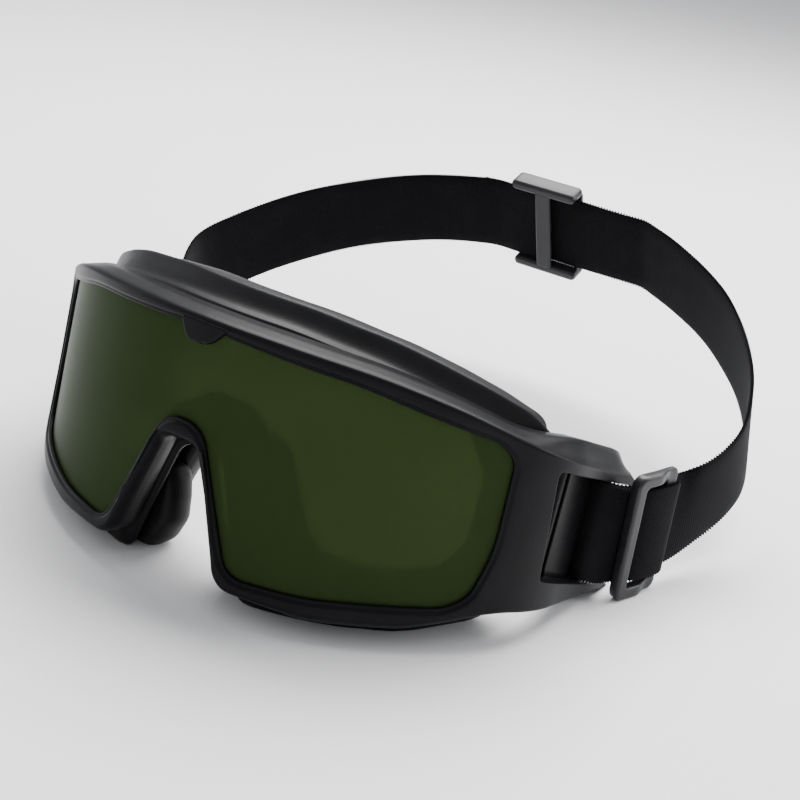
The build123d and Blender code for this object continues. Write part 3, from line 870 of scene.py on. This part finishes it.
def dense(rows, step=1.6):
    """Smooth stations along a path at even spacing, with their distance along it."""
    p = np.array([r[0] for r in rows])
    w = np.array([r[1] for r in rows])
    t = np.concatenate([[0], np.cumsum(np.linalg.norm(np.diff(p, axis=0), axis=1))])
    both = np.concatenate([p, w], 1)
    m = np.gradient(both, t, axis=0)
    u = np.linspace(0, t[-1], int(t[-1] / step) + 1)
    i = np.clip(np.searchsorted(t, u) - 1, 0, len(t) - 2)
    h = (t[i + 1] - t[i])[:, None]
    a = ((u - t[i]) / (t[i + 1] - t[i]))[:, None]
    q = ((2 * a ** 3 - 3 * a ** 2 + 1) * both[i] + (a ** 3 - 2 * a ** 2 + a) * h * m[i]
         + (3 * a ** 2 - 2 * a ** 3) * both[i + 1] + (a ** 3 - a ** 2) * h * m[i + 1])
    up = q[:, 3:] / np.linalg.norm(q[:, 3:], axis=1)[:, None]
    return q[:, :3], up, u


def ribbon(name, rows, width, thick, material, step=1.6, wave=0.0, trim=0.0):
    """Woven band with rounded edges; its UV map is millimetres along and across.

    The last 26 mm can be narrowed by trim along the upper edge.
    """
    p, up, u = dense(rows, step)
    tangent = np.gradient(p, axis=0)
    out = np.cross(tangent, up)
    out /= np.linalg.norm(out, axis=1)[:, None]
    half, t = width / 2, thick / 2
    across = np.concatenate([np.linspace(-1, 1, 9) * (half - t), [half - 0.3 * t, half, half - 0.3 * t],
                             np.linspace(1, -1, 9) * (half - t), [-half + 0.3 * t, -half, -half + 0.3 * t]])
    away = np.concatenate([np.full(9, t), [0.7 * t, 0, -0.7 * t], np.full(9, -t), [-0.7 * t, 0, 0.7 * t]])
    k = len(across)
    ripple = wave * np.sin(u[:, None] * 0.11 + across[None] * 0.09) * np.sin(u[:, None] * 0.043 + 1.0)
    cut = trim * np.clip((u - u[-1] + 26.0) / 6.0, 0, 1)
    height = across[None] - cut[:, None] * (across[None] + half) / width
    verts = (p[:, None] + up[:, None] * height[:, :, None]
             + out[:, None] * (away[None, :] + ripple)[:, :, None]).reshape(-1, 3)
    n = len(p)
    faces = [(r * k + i, r * k + (i + 1) % k, (r + 1) * k + (i + 1) % k, (r + 1) * k + i)
             for r in range(n - 1) for i in range(k)]
    faces += [tuple(range(k)), tuple(range((n - 1) * k, n * k))]
    ob = mesh_object(name, level(verts), faces, material, merge=0.0001)
    uv = ob.data.uv_layers.new(name="band")
    for poly in ob.data.polygons:
        for li in poly.loop_indices:
            v = ob.data.loops[li].vertex_index
            uv.data[li].uv = (u[v // k], across[v % k])
    rim = [level(p + up * (half - 0.05 - cut[:, None])), level(p - up * (half - 0.05))]
    return ob, rim


def edge_cord(name, lines, pitch, size, material):
    """Row of small knit loops along lines of points, made with Geometry Nodes."""
    verts, edges = [], []
    for line in lines:
        edges += [(len(verts) + i, len(verts) + i + 1) for i in range(len(line) - 1)]
        verts += [tuple(q / 1000.0) for q in line]
    me = bpy.data.meshes.new(name + "_line")
    me.from_pydata(verts, edges, [])
    carrier = bpy.data.objects.new(name + "_line", me)
    bpy.context.scene.collection.objects.link(carrier)
    tree = bpy.data.node_groups.new(name + "_tree", "GeometryNodeTree")
    face = tree.interface
    face.new_socket("Geometry", in_out="INPUT", socket_type="NodeSocketGeometry")
    pitch_in = face.new_socket("Pitch", in_out="INPUT", socket_type="NodeSocketFloat")
    size_in = face.new_socket("Loop size", in_out="INPUT", socket_type="NodeSocketFloat")
    face.new_socket("Geometry", in_out="OUTPUT", socket_type="NodeSocketGeometry")
    add = lambda kind: tree.nodes.new(kind)
    gin, gout = add("NodeGroupInput"), add("NodeGroupOutput")
    curve, points = add("GeometryNodeMeshToCurve"), add("GeometryNodeResampleCurve")
    points.mode = "LENGTH"
    ball, spread = add("GeometryNodeMeshIcoSphere"), add("GeometryNodeInstanceOnPoints")
    ball.inputs["Subdivisions"].default_value = 1
    align = add("FunctionNodeAlignRotationToVector")
    align.axis = "X"
    tangent = add("GeometryNodeInputTangent")
    real, paint = add("GeometryNodeRealizeInstances"), add("GeometryNodeSetMaterial")
    soft = add("GeometryNodeSetShadeSmooth")
    paint.inputs["Material"].default_value = material
    spread.inputs["Scale"].default_value = (0.62, 1.0, 1.0)
    link = lambda a, b: tree.links.new(a, b)
    link(gin.outputs["Geometry"], curve.inputs["Mesh"])
    link(curve.outputs["Curve"], points.inputs["Curve"])
    link(gin.outputs["Pitch"], points.inputs["Length"])
    link(points.outputs["Curve"], spread.inputs["Points"])
    link(gin.outputs["Loop size"], ball.inputs["Radius"])
    link(ball.outputs["Mesh"], spread.inputs["Instance"])
    link(tangent.outputs["Tangent"], align.inputs["Vector"])
    link(align.outputs["Rotation"], spread.inputs["Rotation"])
    link(spread.outputs["Instances"], real.inputs["Geometry"])
    link(real.outputs["Geometry"], soft.inputs["Geometry"])
    link(soft.outputs["Geometry"], paint.inputs["Geometry"])
    link(paint.outputs["Geometry"], gout.inputs["Geometry"])
    mod = carrier.modifiers.new("loops", "NODES")
    mod.node_group = tree
    mod[pitch_in.identifier] = pitch
    mod[size_in.identifier] = size
    shown = carrier.evaluated_get(bpy.context.evaluated_depsgraph_get())
    done = bpy.data.meshes.new_from_object(shown)
    bpy.data.objects.remove(carrier)
    done.name = name
    ob = bpy.data.objects.new(name, done)
    bpy.context.scene.collection.objects.link(ob)
    return ob


def row_point(p):
    return tuple(float(c) / 1000 for c in level(np.array(p)))


for side, name, shift in ((1, "left", 0.85), (-1, "right", -0.85)):
    band, rims = ribbon(f"head_band_{name}", strap_stations(side, shift), STRAP_WIDTH, 1.25, elastic, wave=0.35,
                        trim=1.5 if side > 0 else 0.0)
    cord = edge_cord(f"band_edge_{name}", rims, 0.00115, 0.00050, elastic)
    for ob in (band, cord):
        row_point((side * 100, 106, 23))
        row_point((side * 104, 132, 23))
        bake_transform(ob)
    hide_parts(f"strap_end_{name}", f"strap_loop_{name}", f"strap_{name}")


# ---- temple buckles -------------------------------------------------------------------------
BUCKLE_LONG, BUCKLE_TALL, BUCKLE_THICK, BUCKLE_BAR = 18.5, 40.0, 3.6, 3.7
BAND_DOUBLED, BUCKLE_CLEAR = 1.3, 0.2


def buckle_place(side):
    """Distance back along the buckle, height and depth below its outer face to the row frame."""
    lift = BAND_DOUBLED + BUCKLE_CLEAR + BUCKLE_THICK

    def place(s, z, depth):
        s, z, depth = np.broadcast_arrays(s, z, depth)
        along = np.array([side * SPREAD, 1.0, 0.0])
        along /= np.linalg.norm(along)
        out = np.array([side * along[1], -side * along[0], 0.0])
        base = np.array([side * START[0], ROOT_Y + START[1], 0.0]) + out * lift
        p = base + along * s[..., None] - out * depth[..., None]
        p[..., 2] = z
        return level(p)
    return place


def buckle(side, name):
    low, high = BUCKLE_BAR, BUCKLE_TALL - BUCKLE_BAR
    rim = rounded([(0, 0), (BUCKLE_LONG, 0), (BUCKLE_LONG, BUCKLE_TALL), (0, BUCKLE_TALL)],
                  [3.4, 2.6, 2.6, 3.4], 1.2)
    gap = rounded([(4.0, low), (14.2, low), (14.2, high), (4.0, high)], [1.4, 0.8, 0.8, 1.4], 1.2)
    rings = [bevel_rings(rim, outward(rim, 1), 1.0, 0.0, BUCKLE_THICK),
             bevel_rings(gap, outward(gap, -1), 0.75, 0.0, BUCKLE_THICK)]
    flat = buckle_place(side)

    def place(s, z, depth):
        s, z, depth = np.broadcast_arrays(s, z, depth)
        away = np.clip((s - 9.0) / 6.0, 0, 1)
        return flat(s, z, depth + away * away * (3 - 2 * away) * (1 - depth / BUCKLE_THICK) * 1.9)
    return slab(f"temple_buckle_{name}", rings, place, 1.6, grey_nylon)


def strap_tail(side, name):
    local = buckle_place(side)
    path = [(1.0, 3.05), (3.0, 3.0), (5.0, 2.5), (7.2, 1.7), (10, 1.15), (13.2, 0.95), (16.2, 1.1),
            (18.4, 1.45), (19.7, 2.1), (19.5, 2.95), (18.0, 3.15)]
    row_origin, up = np.array([ROW_X, ROW_Y, 0]), np.array([0, 0, 1.0])
    rows = [(local(np.array(s), np.array(BUCKLE_TALL / 2), np.array(d)) - row_origin, up) for s, d in path]
    return ribbon(f"buckle_tail_{name}", rows, STRAP_WIDTH - 0.4, 1.15, elastic, 0.7)


for side, name in ((1, "left"), (-1, "right")):
    settle(buckle(side, name), f"buckle_{name}", "hardware", f"buckle_{name}")
    tail, rims = strap_tail(side, name)
    settle(tail, f"buckle_{name}", "strap", f"strap_tail_{name}")
    settle(edge_cord(f"tail_edge_{name}", rims, 0.00115, 0.00048, elastic), f"buckle_{name}", "strap")


# ---- rear slider ----------------------------------------------------------------------------
def rear_slider():
    middle = spot(SLIDER_X, FLAT_E)
    turn = np.array([[1, 0, 0], [0, cos(SLOPE), -sin(SLOPE)], [0, sin(SLOPE), cos(SLOPE)]])

    def plate(name, x0, x1, z0, z1, near, far, radius, r):
        loop = rounded([(x0, z0), (x1, z0), (x1, z1), (x0, z1)], [radius] * 4, 0.9)
        rings = bevel_rings(loop, outward(loop, 1), r, near, far, None, 0.25)

        def place(x, z, d):
            x, z, d = np.broadcast_arrays(x, z, d)
            return level(np.stack([x, d, z], -1) @ turn.T + middle)
        return slab(name, [rings], place, 2.0, grey_nylon)
    parts = [plate("rail", -13.3, 13.3, 15.3, 19.1, -3.9, 3.9, 1.8, 1.3),
             plate("rail", -13.3, 13.3, -19.1, -15.3, -3.9, 3.9, 1.8, 1.3),
             plate("bar", -3.1, 3.1, -16.6, 16.6, -3.9, -2.05, 0.3, 0.6),
             plate("end", -13.4, -10.0, -16.6, 16.6, 2.05, 3.9, 0.3, 0.6),
             plate("end", 10.0, 13.4, -16.6, 16.6, 2.05, 3.9, 0.3, 0.6)]
    return join("rear_slide", *parts)


settle(rear_slider(), "rear_slider", "hardware", "rear_slider")


# ---- camera, light and floor ----------------------------------------------------------------
VIEW_AROUND, VIEW_ABOVE, VIEW_ROLL = radians(30.5675), radians(22.4006), radians(8.5943)
VIEW_FROM = (229.9, -281.4, 210.8)


def lamp(name, at, aim, size, energy, tint=(1, 1, 1)):
    data = bpy.data.lights.new(name, "AREA")
    data.shape = "RECTANGLE"
    data.size, data.size_y = size
    data.energy = energy
    data.color = tint
    ob = bpy.data.objects.new(name, data)
    ob.location = at
    ob.rotation_euler = (Vector(aim) - Vector(at)).to_track_quat("-Z", "Y").to_euler()
    bpy.context.scene.collection.objects.link(ob)


def studio():
    me = bpy.data.meshes.new("floor")
    me.from_pydata([(-6, -6, 0), (6, -6, 0), (6, 6, 0), (-6, 6, 0)], [], [(0, 1, 2, 3)])
    floor = bpy.data.objects.new("floor", me)
    bpy.context.scene.collection.objects.link(floor)
    m = Shader("pale_floor")
    tone = m.noise(m.place(), 3.0)
    me.materials.append(m.finish(Base_Color=m.mix(tone, (0.80, 0.80, 0.81), (0.83, 0.83, 0.84)),
                                 Roughness=0.6 + tone * 0.1))
    world = bpy.data.worlds.new("studio")
    world.use_nodes = True
    world.node_tree.nodes["Background"].inputs[0].default_value = (0.96, 0.97, 1.0, 1.0)
    world.node_tree.nodes["Background"].inputs[1].default_value = 0.70
    bpy.context.scene.world = world
    lamp("overhead", (-0.05, 0.45, 0.85), (0.0, 0.0, 0.03), (1.1, 0.7), 34.0)
    lamp("left_edge", (-0.95, -0.25, 0.35), (-0.05, -0.08, 0.04), (0.3, 0.8), 1.6)
    lamp("right_edge", (0.75, 0.55, 0.4), (0.09, 0.0, 0.03), (0.3, 0.5), 5.0)


def camera():
    data = bpy.data.cameras.new("camera")
    data.lens = 67.5
    data.sensor_width = 36.0
    data.clip_start = 0.01
    ob = bpy.data.objects.new("camera", data)
    spin = (Matrix.Rotation(VIEW_AROUND, 4, "Z") @ Matrix.Rotation(pi / 2 - VIEW_ABOVE, 4, "X")
            @ Matrix.Rotation(VIEW_ROLL, 4, "Z"))
    at = level(np.array(VIEW_FROM)) / 1000
    ob.matrix_world = Matrix.Translation(Vector(at)) @ spin
    bpy.context.scene.collection.objects.link(ob)
    bpy.context.scene.camera = ob


studio()
camera()
